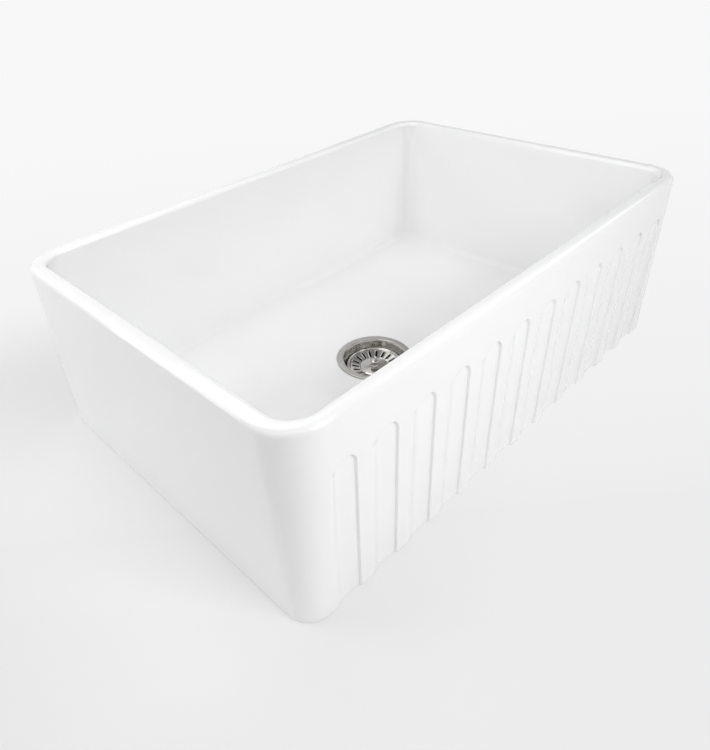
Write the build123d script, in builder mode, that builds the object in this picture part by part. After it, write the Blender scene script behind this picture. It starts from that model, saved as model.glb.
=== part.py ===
from build123d import *
import math
import os

os.makedirs("parts", exist_ok=True)

# Farmhouse apron front sink with a basket strainer, in millimetres.
# Origin: centre of the underside. +X runs along the width, the fluted apron faces -Y, +Z is up.

# ---- basin ----
outer_width = 762.0
outer_depth = 508.0
outer_height = 254.0
wall = 20.0
floor_thickness = 25.4
floor_fall = 2.0  # how far the floor drops from the walls to the drain
rim_corner_radius = 48.0  # outer corners at the rim, drawn in towards the base
base_corner_radius = 30.0
inner_corner_radius = 22.0
floor_round = 9.0
floor_border = 1.0  # level strip between the floor's round and its slope
rim_outer_round = 8.0
rim_inner_round = 6.0
base_round = 3.0

# ---- flutes on the apron ----
flute_count = 12
flute_pitch = 57.8
flute_width = 31.0
flute_depth = 4.2
flute_top_gap = 54.0  # from the rim down to the top of each arch
flute_wall_angle = 33.0
flute_root_round = 2.6
flute_lip_round = 1.8
flute_run_out = 10.0  # how far the cutter passes the underside

# ---- drain hole ----
drain_x = -6.0
drain_y = -9.0
drain_hole_radius = 46.5
hole_flare_radius = 50.0  # the hole's mouth under the flange
hole_flare_height = 7.0
flange_recess_gap = 0.85  # round the flange
flange_recess_depth = 1.2
recess_border = 4.0  # level ground round the recess
spotface_radius = 68.0
spotface_depth = 1.5

# ---- strainer body ----
flange_radius = 57.15
flange_thickness = 1.7
flange_edge_land = 0.4
putty_thickness = 0.8
putty_setback = 1.0  # inside the flange's edge
mouth_radius = 48.0  # where the flange turns down into the bowl
mouth_bevel = 0.8
lip_radius = 46.0
lip_drop = 3.0
bowl_radius = 43.7
throat_drop = 12.5  # flange top to the straight part of the bowl
thread_radius = 45.2
bowl_depth = 50.0  # flange top to the flat seat of the stopper
bowl_bottom_round = 12.0
sheet = 1.6
seat_radius = 28.0
outlet_radius = 20.5
spud_radius = 23.4
spud_length = 23.0
spud_root_drop = 2.0  # the bowl's underside down to the spud's plain root
spud_bore_radius = 19.2

# ---- crosspiece and its spring clip ----
spider_depth = 6.0  # stopper seat to the top of the crosspiece
spider_thickness = 2.0
spider_gap = 0.2
spider_rim = 1.6
spider_arm_width = 3.0
spider_arms = 4
hub_radius = 6.6
hub_length = 9.0
hub_bore_radius = 3.9
clip_groove_radius = 5.2
clip_groove_height = 1.7
clip_groove_drop = 4.6  # hub top to the top of the groove
clip_running_gap = 0.3
clip_thickness = 1.4
clip_mouth_angle = 50.0

# ---- clamp stack under the sink ----
gasket_thickness = 3.0
gasket_radius = 60.0
friction_ring_thickness = 1.5
friction_ring_radius = 58.0
ring_bore_gap = 0.5  # gasket and friction ring round the thread
nut_thread_gap = 0.1
locknut_collar_radius = 56.0
locknut_collar_height = 4.0
locknut_ring_wall = 4.0
locknut_height = 10.0
locknut_lugs = 6
locknut_lug_width = 12.0
locknut_lug_reach = 59.0
locknut_lug_round = 2.0

# ---- tailpiece joint ----
tube_radius = 19.05
tube_wall = 1.2
tube_length = 100.0
tube_flange_radius = 22.6
tube_flange_thickness = 1.4
tube_flare_height = 3.2
tube_flare_radius = 20.4
ring_fit_gap = 0.1  # washer's lip in the spud, coupling nut on its thread
washer_thickness = 1.6
washer_lip_depth = 6.0
washer_lip_wall = 1.0
coupling_shoulder_gap = 0.3
coupling_wall = 3.6
coupling_height = 19.0
coupling_shoulder = 3.0
coupling_ribs = 8
coupling_rib_radius = 2.4

# ---- basket ----
basket_drop = 12.0  # flange top to the top of the basket's rim
basket_gap = 0.9  # round the basket's rim
basket_sheet = 0.9
rim_bead_radius = 1.4
gutter_radius = 38.9
slot_lip_radius = 36.9
slot_lip_drop = 1.0  # basket top to the top of the slotted slope
dish_depth = 6.0  # basket rim to the foot of the slotted slope
disc_radius = 21.3
disc_step = 0.8
disc_crown = 0.5
disc_flat_radius = 7.5
disc_bevel = 1.2
slot_count = 18
slot_width = 2.6
slot_inner_radius = 23.6
slot_outer_radius = 35.2
slot_phase = 16.0

# ---- stem, knob and stopper ----
stem_radius = 3.0
stem_shoulder = 1.2  # plain stem showing below its nut
stem_neck_radius = 2.3
stem_neck_taper = 0.7
stem_ball_radius = 2.9
stem_ball_drop = 3.0  # clip's underside to the middle of the ball
stem_fit_gap = 0.05
knob_height = 11.5
knob_cap_radius = 6.5
knob_cap_height = 4.2
knob_cap_lip = 0.8
knob_neck_radius = 4.1
knob_foot_radius = 5.6
knob_foot_height = 1.4
knob_socket_depth = 8.0
spacer_radius = 5.0
stopper_thickness = 4.0
stopper_radius = 25.5
stopper_lip = 1.2
stopper_border = 1.0  # rubber showing round its backing plate
backing_radius = 19.5
backing_thickness = 1.2
stem_nut_flats = 10.0
stem_nut_height = 3.5

# ---- levels worked out from the sizes above ----
drain_floor = floor_thickness - floor_fall
putty_base = drain_floor - flange_recess_depth
flange_base = putty_base + putty_thickness
flange_top = flange_base + flange_thickness
seat_level = flange_top - bowl_depth
spider_top = seat_level - spider_depth
spud_end = seat_level - spud_length
gasket_base = spotface_depth - gasket_thickness
friction_base = gasket_base - friction_ring_thickness
locknut_base = friction_base - locknut_height
washer_base = spud_end - washer_thickness
tube_flange_base = washer_base - tube_flange_thickness
tube_end = tube_flange_base - tube_length
basket_top = flange_top - basket_drop
slope_foot = basket_top - dish_depth
disc_top = slope_foot + disc_step
basket_radius = bowl_radius - basket_gap
rim_base = basket_top - 2 * rim_bead_radius
gutter_floor = rim_base + basket_sheet
stopper_top = seat_level + stopper_thickness
backing_top = stopper_top + backing_thickness
groove_top = spider_top - clip_groove_drop
groove_floor = groove_top - clip_groove_height
knob_base = disc_top + disc_crown
socket_top = knob_base + knob_socket_depth
dish_underside = knob_base - basket_sheet
stem_nut_base = seat_level - stem_nut_height
ball_level = groove_floor - stem_ball_drop

drain_axis = Axis((drain_x, drain_y, 0), (0, 0, 1))
drain_section = Plane(origin=(drain_x, drain_y, 0), x_dir=(1, 0, 0), z_dir=(0, -1, 0))


def drain_plane(level):
    """A level plane centred on the drain."""
    return Plane(origin=(drain_x, drain_y, level), x_dir=(1, 0, 0), z_dir=(0, 0, 1))


def turned(*corners):
    """Adds a body turned about the drain's axis from the corners (radius, height) of its section."""
    with BuildSketch(drain_section) as section:
        with BuildLine():
            Polyline(*corners, close=True)
        make_face()
    revolve(section.sketch, axis=drain_axis)


def ring(inner, outer, bottom, top):
    """Adds a plain ring about the drain's axis."""
    with BuildSketch(drain_plane(bottom)) as outline:
        Circle(outer)
        Circle(inner, mode=Mode.SUBTRACT)
    extrude(outline.sketch, amount=top - bottom)


# One flute: an arched slot that runs out through the underside, with sloping walls and a rounded root
flute_radius = flute_width / 2
flute_spring = outer_height - flute_top_gap - flute_radius
with BuildPart() as flute_cutter:
    with BuildSketch(Plane.XZ.offset(outer_depth / 2)) as arch:
        with BuildLine():
            left_foot = (-flute_radius, -flute_run_out)
            right_foot = (flute_radius, -flute_run_out)
            left_spring = (-flute_radius, flute_spring)
            right_spring = (flute_radius, flute_spring)
            Line(left_spring, left_foot)
            Line(left_foot, right_foot)
            Line(right_foot, right_spring)
            ThreePointArc(right_spring, (0, flute_spring + flute_radius), left_spring)
        make_face()
    extrude(amount=-flute_depth, taper=flute_wall_angle)
    fillet(flute_cutter.faces().sort_by(Axis.Y)[-1].edges(), radius=flute_root_round)

# Basin: block, flutes, bowl, falling floor and drain hole
inner_width = outer_width - 2 * wall
inner_depth = outer_depth - 2 * wall
with BuildPart() as sink_basin:
    with BuildSketch(Plane.XY):
        RectangleRounded(outer_width, outer_depth, base_corner_radius)
    with BuildSketch(Plane.XY.offset(outer_height)):
        RectangleRounded(outer_width, outer_depth, rim_corner_radius)
    loft(ruled=True)
    fillet(sink_basin.faces().sort_by(Axis.Z)[-1].edges(), radius=rim_outer_round)
    fillet(sink_basin.faces().sort_by(Axis.Z)[0].edges(), radius=base_round)
    with GridLocations(flute_pitch, 0, flute_count, 1):
        add(flute_cutter.part, mode=Mode.SUBTRACT)
    apron = sink_basin.faces().filter_by(Axis.Y).sort_by(Axis.Y)[0]
    arch_edges = apron.edges().filter_by(GeomType.CIRCLE)
    side_edges = apron.edges().filter_by(Axis.Z)
    fillet(arch_edges + side_edges, radius=flute_lip_round)
    with BuildSketch(Plane.XY.offset(floor_thickness)):
        RectangleRounded(inner_width, inner_depth, inner_corner_radius)
    extrude(amount=outer_height - floor_thickness, mode=Mode.SUBTRACT)
    rim = sink_basin.faces().sort_by(Axis.Z)[-1]
    fillet(rim.inner_wires()[0].edges(), radius=rim_inner_round)
    bowl_floor = sink_basin.faces().filter_by(Axis.Z).sort_by(Axis.Z)[1]
    fillet(bowl_floor.edges(), radius=floor_round)
    flat_border = floor_round + floor_border
    with BuildSketch(Plane.XY.offset(floor_thickness)):
        RectangleRounded(inner_width - 2 * flat_border, inner_depth - 2 * flat_border,
                         inner_corner_radius - flat_border)
    recess_radius = flange_radius + flange_recess_gap
    with BuildSketch(drain_plane(drain_floor)):
        slope_end = 2 * (recess_radius + recess_border)
        RectangleRounded(slope_end, slope_end, recess_radius)
    loft(ruled=True, mode=Mode.SUBTRACT)
    with BuildSketch(drain_plane(putty_base)):
        Circle(recess_radius)
    extrude(amount=flange_recess_depth + floor_fall, mode=Mode.SUBTRACT)
    with BuildSketch(drain_plane(0)):
        Circle(drain_hole_radius)
    extrude(amount=floor_thickness, mode=Mode.SUBTRACT)
    with BuildSketch(drain_plane(putty_base - hole_flare_height)):
        Circle(drain_hole_radius)
    with BuildSketch(drain_plane(putty_base)):
        Circle(hole_flare_radius)
    loft(ruled=True, mode=Mode.SUBTRACT)
    with BuildSketch(drain_plane(0)):
        Circle(spotface_radius)
    extrude(amount=spotface_depth, mode=Mode.SUBTRACT)
sink_basin.part.label = "sink_basin"
export_step(sink_basin.part, "parts/sink_basin.step")

# Strainer body: flange, bowl with an outside thread, flat stopper seat and spud, turned in one piece
bowl_outer_floor = seat_level - sheet
spud_bore_top = spider_top - spider_thickness
with BuildPart() as strainer_body:
    with BuildSketch(drain_section) as body_section:
        with BuildLine():
            flange_edge = (flange_radius, flange_base)
            flange_shoulder = (flange_radius, flange_base + flange_edge_land)
            flange_rise = (flange_radius - flange_thickness, flange_top)
            mouth_top = (mouth_radius, flange_top - mouth_bevel / 2)
            lip_top = (mouth_radius - mouth_bevel, flange_top - 2 * mouth_bevel)
            lip_ledge = (lip_radius, flange_top - lip_drop)
            bowl_top = (bowl_radius, flange_top - throat_drop)
            bowl_round_top = (bowl_radius, seat_level + bowl_bottom_round)
            seat_outer = (seat_radius, seat_level)
            outlet_top = (outlet_radius, seat_level)
            spider_ledge_outer = (outlet_radius, spud_bore_top)
            spider_ledge_inner = (spud_bore_radius, spud_bore_top)
            spud_inner_end = (spud_bore_radius, spud_end)
            spud_outer_end = (spud_radius, spud_end)
            spud_root = (spud_radius, bowl_outer_floor - spud_root_drop)
            outer_floor = (seat_radius, bowl_outer_floor)
            thread_end = (thread_radius, seat_level + bowl_bottom_round)
            thread_top = (thread_radius, flange_top - throat_drop)
            lip_outside = (lip_radius + sheet, flange_top - lip_drop - sheet)
            flange_root = (mouth_radius + sheet, flange_base)
            Line(flange_edge, flange_shoulder)
            RadiusArc(flange_shoulder, flange_rise, -flange_thickness)
            Polyline(flange_rise, mouth_top, lip_top, lip_ledge, bowl_top, bowl_round_top)
            Spline(bowl_round_top, seat_outer, tangents=((0, -1), (-1, 0)))
            Polyline(seat_outer, outlet_top, spider_ledge_outer, spider_ledge_inner,
                     spud_inner_end, spud_outer_end, spud_root, outer_floor)
            Spline(outer_floor, thread_end, tangents=((1, 0), (0, 1)))
            Polyline(thread_end, thread_top, lip_outside, flange_root, flange_edge)
        make_face()
    revolve(axis=drain_axis)
strainer_body.part.label = "strainer_body"
export_step(strainer_body.part, "parts/strainer_body.step")

# Crosspiece in the outlet: a rim that rests on the spud's ledge, arms, and a hub grooved for the clip
spider_rim_radius = outlet_radius - spider_gap
with BuildPart() as outlet_crosspiece:
    ring(spider_rim_radius - spider_rim, spider_rim_radius, spider_top - spider_thickness, spider_top)
    with BuildSketch(drain_plane(spider_top - spider_thickness)):
        with PolarLocations(0, spider_arms):
            with Locations(((spider_rim_radius - spider_rim / 2) / 2, 0)):
                Rectangle(spider_rim_radius - spider_rim / 2, spider_arm_width)
    extrude(amount=spider_thickness)
    with BuildSketch(drain_plane(spider_top - hub_length)):
        Circle(hub_radius)
    extrude(amount=hub_length)
    with BuildSketch(drain_plane(spider_top - hub_length)):
        Circle(hub_bore_radius)
    extrude(amount=hub_length, mode=Mode.SUBTRACT)
    with BuildSketch(drain_plane(groove_floor)):
        Circle(clip_groove_radius)
    extrude(amount=clip_groove_height, mode=Mode.SUBTRACT)
outlet_crosspiece.part.label = "outlet_crosspiece"
export_step(outlet_crosspiece.part, "parts/outlet_crosspiece.step")

# Split spring clip that lies in the hub's groove and grips the stem's ball
with BuildPart() as spring_clip:
    ring(stem_ball_radius + clip_running_gap, clip_groove_radius - clip_running_gap,
         groove_floor, groove_floor + clip_thickness)
    with BuildSketch(drain_plane(groove_floor)):
        with BuildLine():
            mouth_half = math.radians(clip_mouth_angle / 2)
            reach = 2 * clip_groove_radius
            mouth_low = (reach * math.cos(mouth_half), -reach * math.sin(mouth_half))
            mouth_high = (reach * math.cos(mouth_half), reach * math.sin(mouth_half))
            Polyline((0, 0), mouth_low, mouth_high, close=True)
        make_face()
    extrude(amount=clip_thickness, mode=Mode.SUBTRACT)
spring_clip.part.label = "spring_clip"
export_step(spring_clip.part, "parts/spring_clip.step")

# Soft and clamping rings, from the flange downwards
stack_bore = thread_radius + ring_bore_gap
with BuildPart() as flange_putty:
    ring(hole_flare_radius, flange_radius - putty_setback, putty_base, flange_base)
flange_putty.part.label = "flange_putty"
export_step(flange_putty.part, "parts/flange_putty.step")

with BuildPart() as under_gasket:
    ring(stack_bore, gasket_radius, gasket_base, spotface_depth)
under_gasket.part.label = "under_gasket"
export_step(under_gasket.part, "parts/under_gasket.step")

with BuildPart() as friction_ring:
    ring(stack_bore, friction_ring_radius, friction_base, gasket_base)
friction_ring.part.label = "friction_ring"
export_step(friction_ring.part, "parts/friction_ring.step")

# Locknut: a collar, a threaded ring and lugs for the spanner
nut_bore = thread_radius + nut_thread_gap
with BuildPart() as locknut:
    ring(nut_bore, locknut_collar_radius, friction_base - locknut_collar_height, friction_base)
    ring(nut_bore, nut_bore + locknut_ring_wall, locknut_base, friction_base)
    with BuildSketch(drain_plane(locknut_base)):
        lug_inner = nut_bore + locknut_ring_wall / 2
        lug_length = locknut_lug_reach - lug_inner
        with PolarLocations(0, locknut_lugs):
            with Locations((lug_inner + lug_length / 2, 0)):
                RectangleRounded(lug_length, locknut_lug_width, locknut_lug_round)
    extrude(amount=locknut_height)
locknut.part.label = "locknut"
export_step(locknut.part, "parts/locknut.step")

# Flanged tailpiece, its lipped washer and the coupling nut that draws it up to the spud
with BuildPart() as tailpiece_washer:
    turned((tube_radius - tube_wall, washer_base), (tube_flange_radius, washer_base),
           (tube_flange_radius, spud_end), (spud_bore_radius - ring_fit_gap, spud_end),
           (spud_bore_radius - ring_fit_gap, spud_end + washer_lip_depth),
           (spud_bore_radius - ring_fit_gap - washer_lip_wall, spud_end + washer_lip_depth),
           (tube_radius - tube_wall, spud_end))
tailpiece_washer.part.label = "tailpiece_washer"
export_step(tailpiece_washer.part, "parts/tailpiece_washer.step")

with BuildPart() as tailpiece:
    bore = tube_radius - tube_wall
    turned((bore, washer_base), (tube_flange_radius, washer_base), (tube_flange_radius, tube_flange_base),
           (tube_flare_radius, tube_flange_base), (tube_radius, tube_flange_base - tube_flare_height),
           (tube_radius, tube_end), (bore, tube_end))
tailpiece.part.label = "tailpiece"
export_step(tailpiece.part, "parts/tailpiece.step")

coupling_base = tube_flange_base - coupling_shoulder
coupling_bore = spud_radius + ring_fit_gap
with BuildPart() as coupling_nut:
    ring(coupling_bore, coupling_bore + coupling_wall, coupling_base, coupling_base + coupling_height)
    ring(tube_flare_radius + coupling_shoulder_gap, coupling_bore + coupling_wall,
         coupling_base, tube_flange_base)
    with BuildSketch(drain_plane(coupling_base)):
        with PolarLocations(coupling_bore + coupling_wall, coupling_ribs):
            Circle(coupling_rib_radius)
        Circle(coupling_bore + coupling_wall / 2, mode=Mode.SUBTRACT)
    extrude(amount=coupling_height)
coupling_nut.part.label = "coupling_nut"
export_step(coupling_nut.part, "parts/coupling_nut.step")

# Basket dish: rolled rim, gutter, slotted slope and a crowned centre disc with the stem's hole
stem_hole = stem_radius + stem_fit_gap
with BuildPart() as basket_dish:
    with BuildSketch(drain_section):
        with BuildLine():
            bead_middle = basket_radius - rim_bead_radius
            bead_level = basket_top - rim_bead_radius
            bead_start = (bead_middle - rim_bead_radius, bead_level)
            bead_end = (bead_middle, rim_base)
            ThreePointArc(bead_start, (bead_middle, basket_top), (basket_radius, bead_level))
            ThreePointArc((basket_radius, bead_level),
                          (bead_middle + rim_bead_radius * math.sin(math.pi / 4),
                           bead_level - rim_bead_radius * math.cos(math.pi / 4)), bead_end)
            top_line = [(gutter_radius, gutter_floor),
                        (slot_lip_radius, basket_top - slot_lip_drop),
                        (disc_radius + disc_bevel, slope_foot),
                        (disc_radius, disc_top),
                        (disc_flat_radius, knob_base),
                        (stem_hole, knob_base)]
            under_line = [(radius, height - basket_sheet) for radius, height in reversed(top_line)]
            Polyline(bead_start, *top_line, *under_line, bead_end)
        make_face()
    revolve(axis=drain_axis)
    with BuildSketch(drain_plane(slope_foot - dish_depth)):
        with PolarLocations(0, slot_count, start_angle=slot_phase):
            with Locations(((slot_inner_radius + slot_outer_radius) / 2, 0)):
                SlotOverall(slot_outer_radius - slot_inner_radius, slot_width)
    extrude(amount=3 * dish_depth, mode=Mode.SUBTRACT)
basket_dish.part.label = "basket_dish"
export_step(basket_dish.part, "parts/basket_dish.step")

# Knob: foot, waisted neck and a domed cap, with a blind socket for the stem
knob_top = knob_base + knob_height
cap_base = knob_top - knob_cap_height
with BuildPart() as basket_knob:
    with BuildSketch(drain_section):
        with BuildLine():
            foot_edge = (knob_foot_radius, knob_base)
            foot_top = (knob_foot_radius, knob_base + knob_foot_height)
            neck = (knob_neck_radius, (knob_base + cap_base) / 2)
            cap_underside = (knob_cap_radius - knob_cap_lip, cap_base)
            cap_edge = (knob_cap_radius, cap_base + knob_cap_height / 3)
            Polyline((stem_hole, knob_base), foot_edge, foot_top)
            ThreePointArc(foot_top, neck, cap_underside)
            Line(cap_underside, cap_edge)
            Spline(cap_edge, (0, knob_top), tangents=((-0.3, 1), (-1, 0)))
            Polyline((0, knob_top), (0, socket_top), (stem_hole, socket_top), (stem_hole, knob_base))
        make_face()
    revolve(axis=drain_axis)
basket_knob.part.label = "basket_knob"
export_step(basket_knob.part, "parts/basket_knob.step")

# Stem with a neck and a ball that snaps through the clip
with BuildPart() as basket_stem:
    shoulder_level = stem_nut_base - stem_shoulder
    with BuildSketch(drain_section):
        with BuildLine():
            ball_join = ball_level + math.sqrt(stem_ball_radius ** 2 - stem_neck_radius ** 2)
            Polyline((0, ball_level - stem_ball_radius), (0, socket_top), (stem_radius, socket_top),
                     (stem_radius, shoulder_level), (stem_neck_radius, shoulder_level - stem_neck_taper),
                     (stem_neck_radius, ball_join))
            ThreePointArc((stem_neck_radius, ball_join), (stem_ball_radius, ball_level),
                          (0, ball_level - stem_ball_radius))
        make_face()
    revolve(axis=drain_axis)
basket_stem.part.label = "basket_stem"
export_step(basket_stem.part, "parts/basket_stem.step")

with BuildPart() as stem_spacer:
    ring(stem_hole, spacer_radius, backing_top, dish_underside)
stem_spacer.part.label = "stem_spacer"
export_step(stem_spacer.part, "parts/stem_spacer.step")

with BuildPart() as stopper_plate:
    ring(stem_hole, backing_radius, stopper_top, backing_top)
stopper_plate.part.label = "stopper_plate"
export_step(stopper_plate.part, "parts/stopper_plate.step")

# Rubber stopper with a thin lip that seals on the flat seat
with BuildPart() as rubber_stopper:
    turned((stem_hole, seat_level), (stopper_radius, seat_level),
           (stopper_radius, seat_level + stopper_lip), (backing_radius + stopper_border, stopper_top),
           (stem_hole, stopper_top))
rubber_stopper.part.label = "rubber_stopper"
export_step(rubber_stopper.part, "parts/rubber_stopper.step")

with BuildPart() as stem_nut:
    with BuildSketch(drain_plane(stem_nut_base)):
        RegularPolygon(stem_nut_flats / 2, 6, major_radius=False)
        Circle(stem_hole, mode=Mode.SUBTRACT)
    extrude(amount=stem_nut_height)
stem_nut.part.label = "stem_nut"
export_step(stem_nut.part, "parts/stem_nut.step")
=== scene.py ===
from math import acos, cos, pi, radians, sin, tan

import bmesh
import bpy
import numpy as np
from mathutils import Matrix, Vector


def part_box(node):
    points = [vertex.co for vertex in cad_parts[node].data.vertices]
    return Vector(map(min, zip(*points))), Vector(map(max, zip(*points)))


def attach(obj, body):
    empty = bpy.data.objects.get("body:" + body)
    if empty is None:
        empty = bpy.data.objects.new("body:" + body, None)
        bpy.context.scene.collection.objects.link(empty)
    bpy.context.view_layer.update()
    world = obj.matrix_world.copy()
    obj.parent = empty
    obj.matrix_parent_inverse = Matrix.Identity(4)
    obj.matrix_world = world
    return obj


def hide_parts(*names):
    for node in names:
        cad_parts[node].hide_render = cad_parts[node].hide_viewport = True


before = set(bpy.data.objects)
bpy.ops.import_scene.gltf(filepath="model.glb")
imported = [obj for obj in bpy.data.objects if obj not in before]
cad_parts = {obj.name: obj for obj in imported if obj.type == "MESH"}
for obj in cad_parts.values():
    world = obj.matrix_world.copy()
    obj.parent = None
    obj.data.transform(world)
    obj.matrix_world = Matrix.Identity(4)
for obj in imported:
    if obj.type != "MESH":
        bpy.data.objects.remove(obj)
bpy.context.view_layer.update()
mm = 0.001
print("frame loaded")

# values that all pieces share; lengths are in mm unless a comment says metres
mergeGap = 0.002  # points closer than this become one
nearEnough = 0.01  # two measures closer than this count as equal
arcSteps = 5  # on each rounding of a section
roomShare = 0.49  # the most of an edge that a rounding may take
holdShare = 0.25  # of its radius, how far beyond a rounding the next point stands
noiseSpan = (0.3, 0.7)  # nearly all values of a noise lie between these


def linearColour(hexColour):
    # sRGB hex to the linear red, green, blue and alpha that a colour socket takes
    parts = [int(hexColour[i:i + 2], 16) / 255 for i in (1, 3, 5)]
    return [c / 12.92 if c <= 0.04045 else ((c + 0.055) / 1.055) ** 2.4 for c in parts] + [1.0]


def addNode(tree, kind, inputs=(), **settings):
    # one shader node; its inputs are by name or in order, and each is a value, a hex colour, or the output
    # that it is linked from
    node = tree.nodes.new("ShaderNode" + kind)
    for name, value in settings.items():
        setattr(node, name, value)
    for name, value in inputs.items() if isinstance(inputs, dict) else enumerate(inputs):
        if isinstance(value, bpy.types.NodeSocket):
            tree.links.new(value, node.inputs[name])
        else:
            node.inputs[name].default_value = linearColour(value) if isinstance(value, str) else value
    return node


def newMaterial(name):
    # an empty material and its node tree
    material = bpy.data.materials.new(name)
    material.use_nodes = True
    material.node_tree.nodes.clear()
    return material, material.node_tree


def addObject(name, data):
    # a new object in the scene
    added = bpy.data.objects.new(name, data)
    bpy.context.scene.collection.objects.link(added)
    return added


def weldedMesh(name, points, faces):
    # a mesh from points in metres and faces as point numbers: doubles merged, faces turned outwards
    mesh = bpy.data.meshes.new(name)
    mesh.from_pydata(points.tolist(), [], faces)
    work = bmesh.new()
    work.from_mesh(mesh)
    bmesh.ops.remove_doubles(work, verts=work.verts, dist=mergeGap * mm)
    wires = [e for e in work.edges if not e.link_faces]
    bmesh.ops.delete(work, geom=wires, context="EDGES")
    loose = [v for v in work.verts if not v.link_faces]
    bmesh.ops.delete(work, geom=loose, context="VERTS")
    bmesh.ops.recalc_face_normals(work, faces=work.faces)
    work.to_mesh(mesh)
    openEdges = sum(1 for e in work.edges if len(e.link_faces) != 2)
    work.free()
    mesh.shade_smooth()
    print(name, len(mesh.polygons), "faces,", openEdges, "open edges")
    return addObject(name, mesh)


def gridFaces(numbers, closeRows=False, closeColumns=False):
    # quads between the neighbours of a grid of point numbers, which may close on itself
    if closeRows:
        numbers = np.concatenate([numbers, numbers[:1]], axis=0)
    if closeColumns:
        numbers = np.concatenate([numbers, numbers[:, :1]], axis=1)
    corners = [numbers[:-1, :-1], numbers[:-1, 1:], numbers[1:, 1:], numbers[1:, :-1]]
    return np.stack(corners, axis=-1).reshape(-1, 4)


def smoothStep(share):
    # 3 share^2 - 2 share^3 between 0 and 1, and level outside
    share = np.clip(share, 0, 1)
    return share * share * (3 - 2 * share)


def quarterRound(start, end, around, steps):
    # points on a quarter ellipse from start to end about the corner that it rounds off
    angle = np.linspace(0, pi / 2, steps + 1)[:, None]
    start, end, around = np.array(start), np.array(end), np.array(around)
    return around + (end - around) * (1 - np.cos(angle)) + (start - around) * (1 - np.sin(angle))


def roundedSection(corners, rounds):
    # a line through corners (radius, height): each one between the ends is rounded by an arc tangent to
    # both its edges, or a smaller one where the shorter edge has no room
    spots = np.array(corners, float)
    found = [spots[0]]
    for before, spot, after, rounding in zip(spots, spots[1:], spots[2:], rounds):
        back, ahead = before - spot, after - spot
        room = roomShare * min(np.linalg.norm(back), np.linalg.norm(ahead))
        back, ahead = back / np.linalg.norm(back), ahead / np.linalg.norm(ahead)
        half = acos(np.clip(back @ ahead, -1, 1)) / 2
        radius = min(rounding, room * tan(half))
        reach = radius / tan(half)
        middle = spot + (back + ahead) / np.linalg.norm(back + ahead) * radius / sin(half)
        first = (spot + back * reach - middle) / radius
        last = (spot + ahead * reach - middle) / radius
        turn = pi - 2 * half
        share = np.linspace(0, 1, arcSteps + 1)[:, None]
        arc = (first * np.sin((1 - share) * turn) + last * np.sin(share * turn)) / sin(turn)
        hold = holdShare * min(radius, room - reach)
        found.append(spot + back * (reach + hold))
        found.extend(middle + radius * arc)
        found.append(spot + ahead * (reach + hold))
    return np.array(found + [spots[-1]])


def aboutDrain(radius, angle, height):
    # points in mm at a radius and an angle about the drain's axis
    x = drainCentre[0] + radius * np.cos(angle)
    y = drainCentre[1] + radius * np.sin(angle)
    return np.stack([x, y, height + 0 * x], axis=-1)


def turnedPiece(name, section, columns, threads=(), pitch=1.0, depth=0.0):
    # a closed section (radius, height) turned about the drain's axis; each thread (radius, low, high)
    # lowers the radius by a wave that climbs one pitch a turn
    angle = np.arange(columns) * 2 * pi / columns
    radius = np.repeat(section[:, :1], columns, axis=1)
    height = np.repeat(section[:, 1:], columns, axis=1)
    wave = 0.5 - 0.5 * np.cos(2 * pi * (height / pitch - angle / (2 * pi)))
    for threadRadius, low, high in threads:
        onThread = (abs(radius - threadRadius) < nearEnough) & (height >= low) & (height <= high)
        radius = np.where(onThread, radius - depth * wave, radius)
    points = aboutDrain(radius, angle, height).reshape(-1, 3) * mm
    numbers = np.arange(len(points)).reshape(radius.shape)
    return weldedMesh(name, points, gridFaces(numbers, closeRows=True, closeColumns=True).tolist())


# camera
camera = {
    "position": (-0.59051, -0.53451, 0.58572),  # metres, fitted to the rim, the corners and the drain
    "azimuth": -41.28,
    "elevation": 35.80,
    "roll": -4.64,
    "pictureWidth": 710,
    "pictureHeight": 750,
    "focalPixels": 627.01,
    "axisPixelX": 314.41,
    "axisPixelY": 362.46,
    "sensorWidth": 36,
    "clipStart": 0.02,  # metres
    "clipEnd": 60,
}


def addCamera(c):
    # azimuth and elevation aim the axis and roll turns the picture about it; the focal length over the
    # long side gives the lens, and the axis's pixel against the middle gives the shifts
    turn, lift, roll = (radians(c[k]) for k in ("azimuth", "elevation", "roll"))
    back = Vector((sin(turn) * cos(lift), -cos(turn) * cos(lift), sin(lift)))
    right = Vector((cos(turn), sin(turn), 0))
    up = back.cross(right)
    tiltedRight = right * cos(roll) + up * sin(roll)
    tiltedUp = up * cos(roll) - right * sin(roll)
    data = bpy.data.cameras.new("camera")
    data.sensor_width = c["sensorWidth"]
    longSide = max(c["pictureWidth"], c["pictureHeight"])
    data.lens = data.sensor_width * c["focalPixels"] / longSide
    data.shift_x = (c["pictureWidth"] / 2 - c["axisPixelX"]) / longSide
    data.shift_y = (c["axisPixelY"] - c["pictureHeight"] / 2) / longSide
    data.clip_start, data.clip_end = c["clipStart"], c["clipEnd"]
    eye = addObject("camera", data)
    eye.matrix_world = Matrix((tiltedRight, tiltedUp, back)).transposed().to_4x4()
    eye.location = c["position"]
    bpy.context.scene.camera = eye


addCamera(camera)
print("camera placed")

# what the frame says: corners of the solids' boxes, and the drain's axis
basinHigh = np.array(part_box("sink_basin")[1]) / mm
strainerLow, strainerHigh = (np.array(corner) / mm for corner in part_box("strainer_body"))
basketHigh = np.array(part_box("basket_dish")[1]) / mm
drainCentre = (strainerLow + strainerHigh)[:2] / 2

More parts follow.
